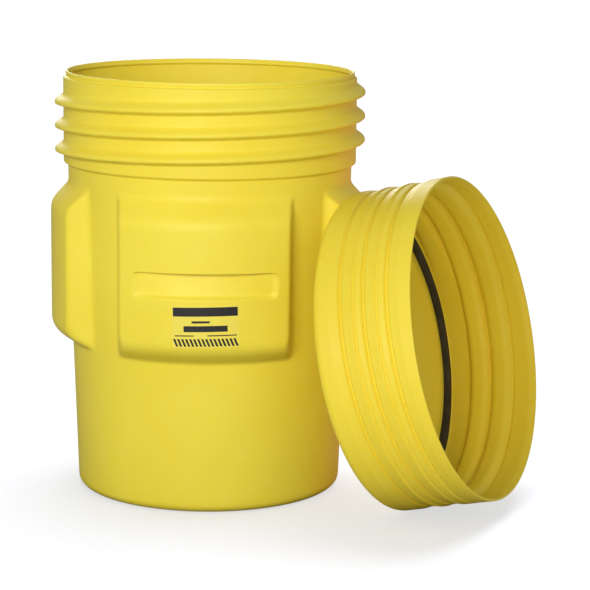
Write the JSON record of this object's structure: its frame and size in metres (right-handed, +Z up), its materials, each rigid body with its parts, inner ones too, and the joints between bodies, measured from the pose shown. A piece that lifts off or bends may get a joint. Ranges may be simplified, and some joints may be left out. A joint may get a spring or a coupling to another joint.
{
  "type": "overpack salvage drum",
  "caption": "Wide open-top salvage drum with moulded lugs and hand-holds, and its deep screw-on lid, unscrewed and leaning against the drum's side.",
  "frame": {"origin": "centre of the drum's flat base, on its axis", "axes": "+Z up along the drum's axis, -Y towards the labelled front lug, +X towards the side where the lid leans"},
  "size_m": [1.2058, 1.0287, 1.025],
  "materials": {
    "drum_plastic": "yellow moulded polyethylene, faintly orange-peeled, soft gloss",
    "lid_plastic": "yellow moulded polyethylene, faintly orange-peeled, soft gloss",
    "gasket_rubber": "black closed-cell rubber, matte",
    "label_film": "yellow printed film, satin",
    "label_ink": "black print"
  },
  "bodies": {
    "drum": {"drum_shell": "drum_plastic", "label_film": "label_film", "label_ink": "label_ink"},
    "gasket": {"lid_gasket": "gasket_rubber"},
    "lid": {"lid_shell": "lid_plastic"}
  },
  "joints": [
    {"name": "lid_carry", "type": "hinge", "parent": "drum", "child": "gasket", "pos_m": [0.5396, -0.24137, 1.00794], "axis": [-0.4083, -0.9128, 0], "range_deg": [0, 257]},
    {"name": "lid_turn", "type": "hinge", "parent": "gasket", "child": "lid", "pos_m": [0.64136, -0.28689, 0.427], "axis": [0.8894, -0.3979, 0.225], "continuous": true}
  ]
}
